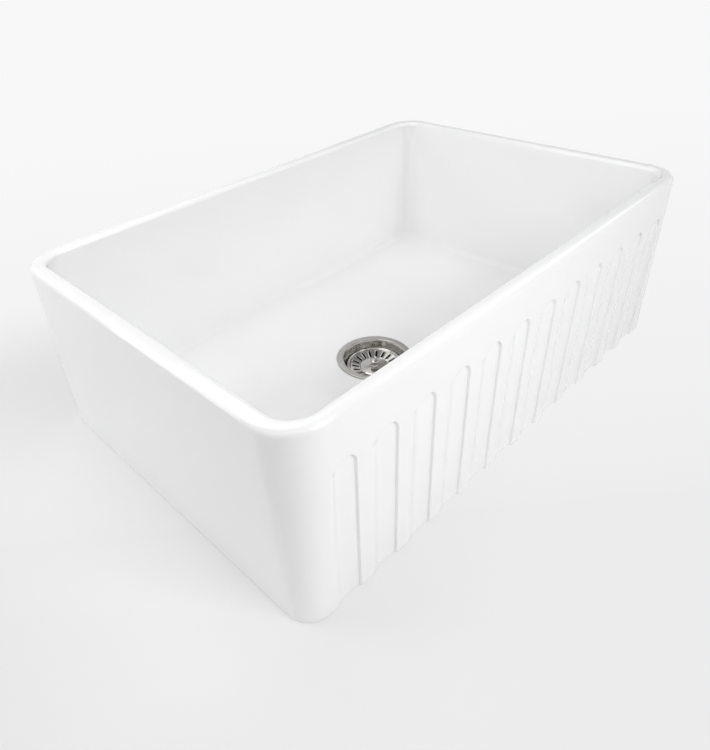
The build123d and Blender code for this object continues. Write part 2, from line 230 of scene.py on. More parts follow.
# basin: one glazed fireclay casting
basin = {
    "wall": 20.0,
    "frontThinner": 2.5,  # the front wall's inside stands this much further out
    "floorLevel": 25.4,
    "floorFall": 2.0,
    "fallBend": 0.06,  # size of the wave that makes the fall steeper at both ends
    "rimCornerRadius": 48.0,
    "baseCornerRadius": 30.0,
    "innerCornerRadius": 14.0,  # below the flare
    "flaredCornerRadius": 28.0,  # at the rim, where the inner corners open out
    "flareDepth": 34.0,
    "floorCornerRadius": 6.0,
    "floorCornerReach": 20.0,  # from the wall's foot to where the corners are that sharp
    "floorRound": 9.0,
    "rimOuterRound": 8.0,
    "rimInnerRound": 6.0,
    "baseRound": 1.5,
    "fluteCount": 12,
    "flutePitch": 57.8,
    "fluteWidth": 31.0,
    "fluteDepth": 4.1,
    "fluteRightDepth": 3.3,  # beside the steep wall
    "fluteDeepest": -8.0,  # from each flute's middle; the floor rises to the right of this
    "fluteSteepWall": 1.7,
    "fluteSoftInside": 8.0,
    "fluteSoftOutside": 10.0,  # how far outside the arch the soft wall starts
    "fluteSoftReach": 30.0,  # a flute's share of the apron, left of its middle
    "fluteTopGap": 54.0,
    "recessRadius": 58.0,
    "recessDepth": 1.2,
    "holeRadius": 46.5,
    "holeMouthRadius": 50.0,
    "holeMouthHeight": 7.0,
    "spotfaceRadius": 68.0,
    "spotfaceDepth": 1.5,
    "drainRounds": (0.8, 0.3, 0.8, 2.0, 0.8, 0.4, 0.6),  # from the recess's edge down to the spotface's
    # rows and columns of the mesh
    "longSteps": 40,
    "shortSteps": 28,
    "cornerSteps": 16,
    "roundSteps": 10,
    "baseSteps": 6,
    "undersideInsets": (40.0, 12.0),
    "outsideLevels": (4, 8, 20, 50, 90, 130, 160),  # below the arches
    "insideLevels": (240, 234, 228, 222, 216, 205, 190, 160, 130, 100, 75, 55),
    "roundLead": 2.0,  # a row this far from a rounding keeps the faces beside it flat
    "archMargin": 3.0,  # of close rows beyond the arches' curve
    "archLead": 4.0,
    "aboveArches": (8, 24),
    "fluteStep": 0.6,  # between the close rows and columns
    "fluteMargin": 1.0,  # of close columns beyond a flute's walls
    "steepLead": 2.0,  # how far inside the steep wall the closest columns start
    "betweenSteps": 4,
    "besideSteps": 8,
    "fallSteps": 25,
    "underSteps": 5,
    "recessLead": 5.0,
    "spotfaceLead": 3.0,
}


def outerCorner(level, b):
    # the outer corners' radius, which tapers evenly from the rim down to the base
    return np.interp(level, [0, basinHigh[2]], [b["baseCornerRadius"], b["rimCornerRadius"]])


def fluteDepth(x, z, b):
    # how deep the apron is cut at (x, z): a smoothstep wall round each arch, by the distance inside it.
    # The wall is narrow and steep at the right and over the top, and wide and soft down the left, and the
    # hollow gets shallower towards the right
    half = b["fluteWidth"] / 2
    spring = basinHigh[2] - b["fluteTopGap"] - half
    last = (b["fluteCount"] - 1) / 2
    number = np.clip(np.floor((x + b["fluteSoftReach"]) / b["flutePitch"] + last), 0, 2 * last) - last
    across, above = x - number * b["flutePitch"], np.maximum(z - spring, 0)
    inside = half - np.hypot(across, above)
    steep = smoothStep(np.maximum((across + half) / (2 * half), above / half))
    # the first arch has only the room that the corner leaves beside it
    room = basinHigh[0] - outerCorner(z, b) - last * b["flutePitch"] - half - b["fluteMargin"]
    outside = np.where(number > -last, b["fluteSoftOutside"], np.clip(room, 0, b["fluteSoftOutside"]))
    start = -outside * (1 - steep)
    width = b["fluteSteepWall"] + (outside + b["fluteSoftInside"] - b["fluteSteepWall"]) * (1 - steep)
    wall = smoothStep((inside - start) / width)
    tilt = smoothStep((across - b["fluteDeepest"]) / (half - b["fluteDeepest"]))
    return (b["fluteDepth"] + (b["fluteRightDepth"] - b["fluteDepth"]) * tilt) * wall


def bridge(fine, coarse, fineX, coarseX):
    # triangles between two rows of points on one plane: each fine edge takes the nearest coarse point,
    # and each coarse edge the fine point halfway along it
    fineMiddles, coarseMiddles = ((x[1:] + x[:-1]) / 2 for x in (fineX, coarseX))
    nearCoarse = coarse[np.searchsorted(coarseMiddles, fineMiddles)]
    nearFine = fine[np.searchsorted(fineMiddles, coarseMiddles)]
    first = np.stack([fine[:-1], fine[1:], nearCoarse], axis=1)
    second = np.stack([coarse[1:], coarse[:-1], nearFine], axis=1)
    return np.concatenate([first, second])


def basinColumns(b):
    # columns round a rounded rectangle, from the front's left end: where the middle of each one's arc is,
    # as a share of the straight sides, and the way that it faces
    along = np.linspace(-1, 1, b["longSteps"] + 1)[:-1]
    across = np.linspace(-1, 1, b["shortSteps"] + 1)[:-1]
    turn = np.linspace(0, pi / 2, b["cornerSteps"] + 1)[:-1]
    long, short, corner = np.ones_like(along), np.ones_like(across), np.ones_like(turn)
    shareX = np.concatenate([along, corner, short, corner, -along, -corner, -short, -corner])
    shareY = np.concatenate([-long, -corner, across, corner, long, corner, -across, -corner])
    sides = enumerate((long, short, long, short))
    facing = [quarter * pi / 2 + part for quarter, side in sides for part in (0 * side, turn)]
    return shareX, shareY, np.concatenate(facing) - pi / 2


def basinSection(b):
    # the wall's section (inset, level) from the underside up the outside, over the rounded rim and down to
    # the floor, and the first and last of its rows that the apron's finer grid takes over
    height, lead, steps = basinHigh[2], b["roundLead"], b["roundSteps"]
    rimOut, rimIn, wall = b["rimOuterRound"], b["rimInnerRound"], b["wall"]
    floorLevel, floorEdge = b["floorLevel"], wall + b["floorRound"]
    wallFoot = floorLevel + b["floorRound"]
    archBase = height - b["fluteTopGap"] - b["fluteWidth"] / 2 - b["archMargin"]
    archTop = height - b["fluteTopGap"] + b["archMargin"]
    underside = [(inset, 0) for inset in b["undersideInsets"]]
    baseRise = quarterRound((b["baseRound"], 0), (0, b["baseRound"]), (0, 0), b["baseSteps"])
    straight = [(0, z) for z in b["outsideLevels"] + (archBase - b["archLead"],)]
    arched = [(0, z) for z in np.arange(archBase, archTop, b["fluteStep"])]
    upper = [(0, archTop + gap) for gap in b["aboveArches"]] + [(0, height - rimOut - lead)]
    outerRound = quarterRound((0, height - rimOut), (rimOut, height), (0, height), steps)
    innerRound = quarterRound((wall - rimIn, height), (wall, height - rimIn), (wall, height), steps)
    inside = [(wall, z) for z in (height - rimIn - lead,) + b["insideLevels"] + (wallFoot + lead,)]
    floorRise = quarterRound((wall, wallFoot), (floorEdge, floorLevel), (wall, floorLevel), steps)
    section = np.concatenate([
        underside, baseRise, straight, arched, upper, outerRound, innerRound, inside, floorRise,
        [(floorEdge + lead, floorLevel)]])
    first = len(underside)
    return section, first, first + len(baseRise) + len(straight) + len(arched) - 1


def basinRings(section, b):
    # each row of the section goes round as a rounded rectangle. The inner corners flare with the square of
    # the height over the top of the wall, and the inside of the front stands a little further out
    halfWidth, halfDepth, height = basinHigh
    shareX, shareY, facing = basinColumns(b)
    inset, level = section[:, :1], section[:, 1:]
    insideStart = b["wall"] - b["rimInnerRound"] - nearEnough
    flare = np.clip((level - height + b["rimInnerRound"] + b["flareDepth"]) / b["flareDepth"], 0, 1)
    wallCorner = b["innerCornerRadius"] + (b["flaredCornerRadius"] - b["innerCornerRadius"]) * flare ** 2
    floorShare = np.clip((inset - b["wall"]) / b["floorCornerReach"], 0, 1)
    sharper = (wallCorner - b["floorCornerRadius"]) * floorShare
    innerCorner = wallCorner + b["wall"] - np.minimum(inset, b["wall"]) - sharper
    corner = np.where(inset < insideStart, outerCorner(level, b) - inset, innerCorner)
    x = shareX * (halfWidth - inset - corner) + corner * np.cos(facing)
    y = shareY * (halfDepth - inset - corner) + corner * np.sin(facing)
    onInside = (inset > insideStart) * (level > b["floorLevel"] - nearEnough)
    y = y - b["frontThinner"] * onInside * (1 - shareY) / 2
    return np.stack([x, y, level + 0 * x], axis=-1)


def drainCircles(bearing, b):
    # circles with a point on each bearing: over the recess's edge, down the mouth and the hole, and out
    # across the spotface underneath
    recess, hole, spotface = b["recessRadius"], b["holeRadius"], b["spotfaceRadius"]
    drainFloor = b["floorLevel"] - b["floorFall"]
    recessFloor = drainFloor - b["recessDepth"]
    section = roundedSection([
        (recess + b["recessLead"], drainFloor), (recess, drainFloor), (recess, recessFloor),
        (b["holeMouthRadius"], recessFloor), (hole, recessFloor - b["holeMouthHeight"]),
        (hole, b["spotfaceDepth"]), (spotface, b["spotfaceDepth"]), (spotface, 0),
        (spotface + b["spotfaceLead"], 0)], b["drainRounds"])
    return aboutDrain(section[:, :1], bearing, section[:, 1:])


def apronColumns(reach, b):
    # x of the apron's columns in every row: close in each flute, twice as close in its steep wall, and a
    # few between the flutes and beside them, out to the reach of the straight part
    half = b["fluteWidth"] / 2
    left, right = half + b["fluteSoftOutside"] + b["fluteMargin"], half + b["fluteMargin"]
    steepStart = right - b["fluteSteepWall"] - b["steepLead"]
    softSteps = round((left + steepStart) / b["fluteStep"])
    steepSteps = 2 * round((right - steepStart) / b["fluteStep"])
    oneFlute = np.concatenate([
        np.linspace(-left, steepStart, softSteps + 1),
        np.linspace(steepStart, right, steepSteps + 1)[1:],
        np.linspace(right, b["flutePitch"] - left, b["betweenSteps"] + 1)[1:-1]])
    centres = (np.arange(b["fluteCount"]) - (b["fluteCount"] - 1) / 2) * b["flutePitch"]
    fluted = (centres[:, None] + oneFlute).ravel()
    inReach = (fluted > b["fluteMargin"] - reach.min()) & (fluted < centres[-1] + right + nearEnough)
    fluted = fluted[inReach]
    beside = -reach + (fluted[0] + reach) * np.linspace(0, 1, b["besideSteps"] + 1)[:-1]
    return np.concatenate([beside, fluted + 0 * reach, (fluted[-1] + reach) / 2, reach], axis=1)


def buildBasin(b):
    # the wall's rings turn into circles by even steps across the floor, which falls along a line with one
    # sine wave on it; the circles go down the drain's hole and back out to the first ring underneath
    section, first, last = basinSection(b)
    rings = basinRings(section, b)
    bearing = np.arctan2(rings[-1, :, 1] - drainCentre[1], rings[-1, :, 0] - drainCentre[0])
    circles = drainCircles(bearing, b)
    share = np.linspace(0, 1, b["fallSteps"] + 1)[1:-1, None, None]
    fall = rings[-1] + (circles[0] - rings[-1]) * share
    fallen = share[..., 0] + b["fallBend"] * np.sin(2 * pi * share[..., 0])
    fall[..., 2] = b["floorLevel"] - b["floorFall"] * np.clip(fallen, 0, 1)
    back = np.linspace(0, 1, b["underSteps"] + 1)[1:-1, None, None]
    under = circles[-1] + (rings[0] - circles[-1]) * back
    grid = np.concatenate([rings, fall, circles, under])
    numbers = np.arange(grid.shape[0] * grid.shape[1]).reshape(grid.shape[:2])

    # the front's straight part gets a finer grid where the flutes are
    inset, level = section[first:last + 1, :1], section[first:last + 1, 1:]
    fineX = apronColumns(basinHigh[0] - outerCorner(level, b), b)
    fineY = -basinHigh[1] + inset + fluteDepth(fineX, level, b)
    apron = np.stack([fineX, fineY, level + 0 * fineY], axis=-1)
    apronNumbers = numbers.size + np.arange(fineX.size).reshape(fineX.shape)

    front = b["longSteps"]
    before, after = grid[first - 1, :front + 1, 0], grid[last + 1, :front + 1, 0]
    faces = gridFaces(numbers, closeRows=True, closeColumns=True).reshape(*numbers.shape, 4)
    keep = np.ones(numbers.shape, bool)
    keep[first - 1:last + 1, :front] = False
    below = bridge(apronNumbers[0], numbers[first - 1, :front + 1], fineX[0], before)
    above = bridge(apronNumbers[-1], numbers[last + 1, :front + 1], fineX[-1], after)
    quads = np.concatenate([faces[keep], gridFaces(apronNumbers)])
    points = np.concatenate([grid.reshape(-1, 3), apron.reshape(-1, 3)]) * mm
    return weldedMesh("basin", points, quads.tolist() + below.tolist() + above.tolist())


fireclay = {
    "glaze": ("#F5F5F6", "#F7F7F7"),
    "clay": ("#CFC2AE", "#E6DCCB"),
    "tintSize": 71.43,  # from one patch of tint to the next
    "grainSize": 1.111,
    "rippleSize": 35.71,
    "rippleDepth": 0.3,
    "rippleStrength": 0.18,
    "glazeLine": (0.8, 1.6),  # height over which the wiped clay gives way to glaze
    "glazeWander": 1.2,  # how far that line goes up and down
    "gloss": (0.85, 0.09),  # roughness of clay and glaze
    "refraction": 1.5,
}


def glazedFireclay(f):
    # glazed fireclay: a white opaque glaze fired on at about 1200 C. It is glossy and slightly uneven,
    # and bare cream clay shows underneath, where the glaze was wiped off for the kiln shelf
    material, tree = newMaterial("glazedFireclay")
    place = addNode(tree, "TexCoord").outputs["Object"]
    tint = addNode(tree, "TexNoise", {
        "Vector": place, "Scale": 1 / (f["tintSize"] * mm), "Detail": 3.0}).outputs["Fac"]
    glaze = addNode(tree, "Mix", {0: tint, 6: f["glaze"][0], 7: f["glaze"][1]}, data_type="RGBA").outputs[2]
    grain = addNode(tree, "TexNoise", {
        "Vector": place, "Scale": 1 / (f["grainSize"] * mm), "Detail": 4.0}).outputs["Fac"]
    clay = addNode(tree, "Mix", {0: grain, 6: f["clay"][0], 7: f["clay"][1]}, data_type="RGBA").outputs[2]
    height = addNode(tree, "SeparateXYZ", (place,)).outputs["Z"]
    wander = f["glazeWander"] * mm
    wiped = addNode(tree, "Math", (tint, wander, height), operation="MULTIPLY_ADD").outputs[0]
    line = [z * mm for z in f["glazeLine"]]
    glazed = addNode(tree, "MapRange", (wiped, *line), interpolation_type="SMOOTHSTEP").outputs[0]
    ripple = addNode(tree, "TexNoise", {
        "Vector": place, "Scale": 1 / (f["rippleSize"] * mm), "Detail": 2.0}).outputs["Fac"]
    colour = addNode(tree, "Mix", {0: glazed, 6: clay, 7: glaze}, data_type="RGBA").outputs[2]
    gloss = addNode(tree, "MapRange", (glazed, 0.0, 1.0, *f["gloss"])).outputs[0]
    relief = addNode(tree, "Bump", {
        "Height": ripple, "Strength": f["rippleStrength"], "Distance": f["rippleDepth"] * mm}).outputs[0]
    shader = addNode(tree, "BsdfPrincipled", {
        "Base Color": colour, "IOR": f["refraction"], "Roughness": gloss, "Normal": relief}).outputs[0]
    addNode(tree, "OutputMaterial", {"Surface": shader})
    return material


basinPiece = buildBasin(basin)
basinPiece.data.materials.append(glazedFireclay(fireclay))
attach(basinPiece, "sink")
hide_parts("sink_basin")
print("basin built")

# strainer body: flange, polished bowl with an outside thread, and spud
strainer = {
    "flangeRadius": 57.15,
    "flangeThickness": 1.7,
    "flangeDish": 0.35,  # how far the flange slopes down to its mouth
    "mouthRadius": 48.0,
    "lipRadius": 46.0,
    "lipDrop": 3.0,
    "lipWider": 0.6,
    "mouthRounds": (0.15, 1.3, 1.0, 0.7, 3.0),  # from the flange's edge over the lip to the throat
    "bowlRadius": 43.7,
    "throatDrop": 12.5,
    "threadRadius": 45.2,
    "bowlDepth": 50.0,
    "bottomRound": 12.0,
    "seatRadius": 28.0,
    "sheet": 1.6,
    "outletRadius": 20.5,
    "ledgeDrop": 8.0,  # from the seat down to the crosspiece's ledge
    "spudRadius": 23.4,
    "spudBore": 19.2,
    "spudRootDrop": 2.0,
    "outletRounds": (0.5, 0.1, 0.2, 0.4, 0.5),  # from the seat's edge down to the spud's end
    "rootRounds": (0.8, 1.0),
    "neckRounds": (0.6, 1.2, 0.8),  # outside, from the thread up to the flange
    "threadPitch": 1.8,
    "threadDepth": 0.6,
    "threadGap": 0.3,  # plain length left at each end of the bowl's thread
    "spudEndGap": 1.0,  # and at the ends of the spud's
    "spudRootGap": 1.5,
    # rows and columns of the mesh
    "columns": 192,
    "bendSteps": 10,
    "rowsPerPitch": 8,
    "flangeLead": 1.0,
    "seatLead": 2.0,
    "rootLead": 0.5,
    "neckLead": 0.2,
}


def column(radius, heights):
    # rows of a section straight up or down at one radius
    return np.stack([np.full(len(heights), radius), heights], axis=1)


def buildStrainer(v):
    # the body's section, rounded where sheet is bent, turned about the drain; helix waves are the threads
    flange, mouth, lip, bowl = v["flangeRadius"], v["mouthRadius"], v["lipRadius"], v["bowlRadius"]
    seat, thread, spud, sheet = v["seatRadius"], v["threadRadius"], v["spudRadius"], v["sheet"]
    top, end = strainerHigh[2], strainerLow[2]
    bottom = top - v["bowlDepth"]
    underside, bend = bottom - sheet, bottom + v["bottomRound"]
    base, throat, lipEnd = top - v["flangeThickness"], top - v["throatDrop"], top - v["lipDrop"]
    ledge, root = bottom - v["ledgeDrop"], underside - v["spudRootDrop"]
    inner = quarterRound((bowl, bend), (seat, bottom), (bowl, bottom), v["bendSteps"])
    outer = quarterRound((seat, underside), (thread, bend), (thread, underside), v["bendSteps"])
    opening = roundedSection([
        (flange - v["flangeLead"], base), (flange, base), (flange, top), (mouth, top - v["flangeDish"]),
        (lip + v["lipWider"], lipEnd), (bowl, throat), (bowl, bend)], v["mouthRounds"])
    rowGap = v["threadPitch"] / v["rowsPerPitch"]
    bowlThread = np.arange(bend + v["threadGap"], throat - v["threadGap"], rowGap)
    spudThread = np.arange(end + v["spudEndGap"], root - v["spudRootGap"], rowGap)
    outlet = roundedSection([
        (seat - v["seatLead"], bottom), (v["outletRadius"], bottom), (v["outletRadius"], ledge),
        (v["spudBore"], ledge), (v["spudBore"], end), (spud, end), (spud, end + v["spudEndGap"])],
        v["outletRounds"])
    rootRise = roundedSection([
        (spud, root - v["spudEndGap"]), (spud, root), (seat, underside),
        (seat + v["rootLead"], underside)], v["rootRounds"])
    neck = roundedSection([
        (thread, throat - v["neckLead"]), (thread, throat), (lip + sheet, lipEnd - sheet),
        (mouth + sheet, base), (flange - 2 * v["flangeLead"], base)], v["neckRounds"])
    section = np.concatenate([
        opening[:-1], inner, outlet[1:], column(spud, spudThread), rootRise[:-1], outer[1:],
        column(thread, bowlThread), neck])
    threads = [(thread, bowlThread[0], bowlThread[-1]), (spud, spudThread[0], spudThread[-1])]
    return turnedPiece("strainerBody", section, v["columns"], threads, v["threadPitch"], v["threadDepth"])


metalFinishes = {
    # stainless sheet, deep drawn: the flange is satin from brushing in rings, the bowl is polished
    "drawnSteel": {"colours": ("#ABA9A5", "#B8B6B2"), "gloss": (0.10, 0.15), "along": "height",
                   "spacing": 1.2, "depth": 0.006, "brushedFrom": 48.6, "brushed": (0.27, 0.36)},
    # stainless sheet, pressed, punched and tumbled bright, with fine rings left by the spinning chuck
    "pressedSteel": {"colours": ("#B5B3AF", "#C2C0BC"), "gloss": (0.10, 0.17), "along": "radius",
                     "spacing": 1.0, "depth": 0.005},
    # stainless bar turned on a lathe and buffed: faint grooves run round it
    "turnedSteel": {"colours": ("#B2B0AC", "#C0BEBA"), "gloss": (0.12, 0.2), "along": "height",
                    "spacing": 0.5, "depth": 0.006},
    # hard drawn spring wire, tempered: slightly brown and half bright
    "temperedSteel": {"colours": ("#8F887E", "#A9A39A"), "gloss": (0.26, 0.36), "along": "height",
                      "spacing": 0.6, "depth": 0.006},
    # zinc die casting under a thin bright plating that dulls to a mottled grey
    "zincCasting": {"colours": ("#A7ABAE", "#C3C6C8"), "gloss": (0.32, 0.48), "along": "height",
                    "spacing": 1.6, "depth": 0.03},
    # drawn brass tube under nickel and chrome: mirror bright, with long faint drawing marks
    "chromedBrass": {"colours": ("#C2C5C8", "#CDD0D2"), "gloss": (0.05, 0.1), "along": "radius",
                     "spacing": 3.0, "depth": 0.004},
}
plainFinishes = {
    # plumber's putty: kneaded linseed and chalk, matt, with thumbed lumps
    "kneadedPutty": {"colours": ("#C6BBA3", "#D6CDB8"), "gloss": (0.7, 0.85),
                     "grain": 4.0, "depth": 0.15},
    # nitrile rubber, moulded: near black with a grey bloom and a fine mould grain
    "mouldedRubber": {"colours": ("#1F1F21", "#333335"), "gloss": (0.5, 0.68),
                      "grain": 1.2, "depth": 0.03},
    # pressed fibre board: brown paper fibres, matt and slightly fuzzy
    "pressedFibre": {"colours": ("#8E6236", "#B98A58"), "gloss": (0.75, 0.9),
                     "grain": 0.8, "depth": 0.06},
    # polythene, injection moulded: milky white with a soft waxy sheen
    "mouldedPolythene": {"colours": ("#E4E3DB", "#EFEEE8"), "gloss": (0.35, 0.45),
                         "grain": 3.0, "depth": 0.02},
}
finishValues = {
    "smudge": 25.0,  # how wide the smudges on metal are
    "ringSpacing": 0.5,
    "brushedBlend": 0.4,  # half the width over which polish gives way to brushing
    "metalStrength": 0.6,  # of the relief
    "plainStrength": 0.8,
}


def placeFromDrain(tree):
    # the place measured from the drain's axis
    place = addNode(tree, "TexCoord").outputs["Object"]
    shift = (-drainCentre[0] * mm, -drainCentre[1] * mm, 0)
    return addNode(tree, "Mapping", {"Vector": place, "Location": shift}).outputs[0]


def metalMaterial(name, f):
    # lines are a noise of the radius or the height alone, so they run round the drain or along its axis;
    # smudges vary colour and gloss, and beyond the brushed radius brushed rings take the lines' place
    material, tree = newMaterial(name)
    place = placeFromDrain(tree)
    flat = addNode(tree, "VectorMath", (place, (1, 1, 0)), operation="MULTIPLY").outputs[0]
    distance = addNode(tree, "VectorMath", (flat,), operation="LENGTH").outputs["Value"]
    height = addNode(tree, "SeparateXYZ", (place,)).outputs["Z"]
    along = distance if f["along"] == "radius" else height
    lines = addNode(tree, "TexNoise", {
        "W": along, "Scale": 1 / (f["spacing"] * mm), "Detail": 3.0}, noise_dimensions="1D").outputs["Fac"]
    smudge = addNode(tree, "TexNoise", {
        "Vector": place, "Scale": 1 / (finishValues["smudge"] * mm), "Detail": 3.0}).outputs["Fac"]
    gloss = addNode(tree, "MapRange", (smudge, *noiseSpan, *f["gloss"])).outputs[0]
    if "brushedFrom" in f:
        rings = addNode(tree, "TexNoise", {
            "W": distance, "Scale": 1 / (finishValues["ringSpacing"] * mm), "Detail": 2.0},
            noise_dimensions="1D").outputs["Fac"]
        brushed = addNode(tree, "MapRange", (rings, *noiseSpan, *f["brushed"])).outputs[0]
        edge = [(f["brushedFrom"] + side * finishValues["brushedBlend"]) * mm for side in (-1, 1)]
        outside = addNode(tree, "MapRange", (distance, *edge)).outputs[0]
        gloss = addNode(tree, "Mix", {0: outside, 2: gloss, 3: brushed}).outputs[0]
        lines = addNode(tree, "Mix", {0: outside, 2: lines, 3: rings}).outputs[0]
    low, high = f["colours"]
    colour = addNode(tree, "Mix", {0: smudge, 6: low, 7: high}, data_type="RGBA").outputs[2]
    relief = addNode(tree, "Bump", {
        "Height": lines, "Strength": finishValues["metalStrength"], "Distance": f["depth"] * mm}).outputs[0]
    shader = addNode(tree, "BsdfPrincipled", {
        "Base Color": colour, "Metallic": 1.0, "Roughness": gloss, "Normal": relief}).outputs[0]
    addNode(tree, "OutputMaterial", {"Surface": shader})
    return material


def plainMaterial(name, f):
    # one noise, at the size of the real grain in mm, gives the tint, the gloss and the relief
    material, tree = newMaterial(name)
    grain = addNode(tree, "TexNoise", {
        "Vector": placeFromDrain(tree), "Scale": 1 / (f["grain"] * mm), "Detail": 4.0}).outputs["Fac"]
    low, high = f["colours"]
    colour = addNode(tree, "Mix", {0: grain, 6: low, 7: high}, data_type="RGBA").outputs[2]
    gloss = addNode(tree, "MapRange", (grain, *noiseSpan, *f["gloss"])).outputs[0]
    relief = addNode(tree, "Bump", {
        "Height": grain, "Strength": finishValues["plainStrength"], "Distance": f["depth"] * mm}).outputs[0]
    shader = addNode(tree, "BsdfPrincipled", {
        "Base Color": colour, "Roughness": gloss, "Normal": relief}).outputs[0]
    addNode(tree, "OutputMaterial", {"Surface": shader})
    return material


finishes = {name: metalMaterial(name, f) for name, f in metalFinishes.items()}
finishes |= {name: plainMaterial(name, f) for name, f in plainFinishes.items()}
print("finishes ready")

strainerPiece = buildStrainer(strainer)
strainerPiece.data.materials.append(finishes["drawnSteel"])
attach(strainerPiece, "sink")
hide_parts("strainer_body")
print("strainer body built")

# basket: a pressed dish with a rolled rim and eighteen slots, and its knob
basket = {
    "rimRadius": 42.8,
    "beadRadius": 1.4,
    "gutterRadius": 38.9,
    "gutterRise": (0.1, 0.35),  # in and up from the bead's start to where the gutter meets it
    "slotLipRadius": 36.9,
    "slotLipDrop": 1.0,
    "dishDepth": 6.0,
    "discRadius": 21.3,
    "discStep": 0.8,
    "discBevel": 1.2,
    "discCrown": 0.5,
    "discFlatRadius": 7.5,
    "sheet": 0.9,
    "stemHole": 3.05,
    "faceRounds": (0.7, 0.8),
    "backRounds": (0.5, 0.5),
    "discRounds": (0.03, 0.5, 3.0, 0.2),  # from the disc's foot in to the stem's hole, on both faces
    "slotCount": 18,
    "slotWidth": 3.3,
    "slotInner": 23.6,
    "slotOuter": 35.2,
    "slotPhase": 16.0,
    "slotEdge": 0.3,  # rounding of the punched edges
    "slotCollar": 0.35,  # how far the pressed edge of a slot stands up
    "collarWidth": 0.75,
    "slotZone": (22.55, 36.4),
    # rows and columns of the mesh
    "endSteps": 10,
    "sideSteps": 14,
    "edgeSteps": 4,
    "collarReach": (0.45, 0.62, 0.85),  # rings by their distance from the slot
    "zoneShares": (0.25, 0.5, 0.75, 1.0),  # rings by their share of the way on to the zone's border
    "zoneReach": (1.3, 2.0, 3.0, 4.0),  # the distance that the collar's bell takes for these
    "wallSteps": 3,
    "beadSteps": 27,
}


def fourRuns(inner, outer, bulge, swing, edge, p):
    # an arc at the outer end, a side inwards, an arc at the inner end and a side outwards, by the distance
    # out along a slot and the distance or angle across it
    along = np.arange(p["sideSteps"]) / p["sideSteps"] * (outer - inner)
    side = np.full(p["sideSteps"], edge)
    out = np.concatenate([outer + bulge, outer - along, inner - bulge, inner + along])
    return out, np.concatenate([swing, -side, -swing, side])


def slotRing(radius, p):
    # points round a slot's outline at a distance: two half circles joined by straight sides
    inner, outer = p["slotInner"] + p["slotWidth"] / 2, p["slotOuter"] - p["slotWidth"] / 2
    turn = pi / 2 - np.arange(p["endSteps"]) * pi / p["endSteps"]
    return fourRuns(inner, outer, radius * np.cos(turn), radius * np.sin(turn), radius, p)


def cellRing(p):
    # the same number of points round the slot's share of the dish: two arcs joined by radial sides
    half = pi / p["slotCount"]
    turn = half - np.arange(p["endSteps"]) * 2 * half / p["endSteps"]
    radius, angle = fourRuns(*p["slotZone"], 0 * turn, turn, half, p)
    return radius * np.cos(angle), radius * np.sin(angle)


def slottedZone(cone, p):
    # sector by sector: rings grow from the slot's edge to the sector's border, on the dish's cone;
    # the edge is rounded off by a quarter circle and stands up in a low collar, a bell over the distance
    turn = np.linspace(0, pi / 2, p["edgeSteps"] + 1)
    reach = np.concatenate([p["slotEdge"] * (1 - np.cos(turn)), p["collarReach"]])
    rings = [slotRing(p["slotWidth"] / 2 + d, p) for d in reach]
    lastRing, border = rings[-1], cellRing(p)
    for share in p["zoneShares"]:
        rings.append(tuple((1 - share) * a + share * c for a, c in zip(lastRing, border)))
    u, v = (np.array([ring[i] for ring in rings]) for i in (0, 1))
    rounded = p["slotEdge"] * (1 - np.sin(turn))
    drop = np.concatenate([rounded, np.zeros(len(rings) - len(rounded))])[:, None]
    distance = np.concatenate([reach, p["zoneReach"]])[:, None]
    collar = p["slotCollar"] * np.exp(-(distance / p["collarWidth"]) ** 2)
    slope = cone(np.hypot(u, v))
    above, below = slope + collar - drop, slope + collar - p["sheet"] + drop
    wall = above[0] + (below[0] - above[0]) * np.linspace(0, 1, p["wallSteps"] + 1)[1:-1, None]
    gridU, gridV = (np.concatenate([g[::-1], g[:1], g[:1], g]) for g in (u, v))
    gridZ = np.concatenate([above[::-1], wall, below])
    angle = np.radians(p["slotPhase"]) + np.arange(p["slotCount"]) * 2 * pi / p["slotCount"]
    ahead, aside = np.cos(angle)[:, None, None], np.sin(angle)[:, None, None]
    x = drainCentre[0] + gridU * ahead - gridV * aside
    y = drainCentre[1] + gridU * aside + gridV * ahead
    return np.stack([x, y, np.broadcast_to(gridZ, x.shape)], axis=-1)


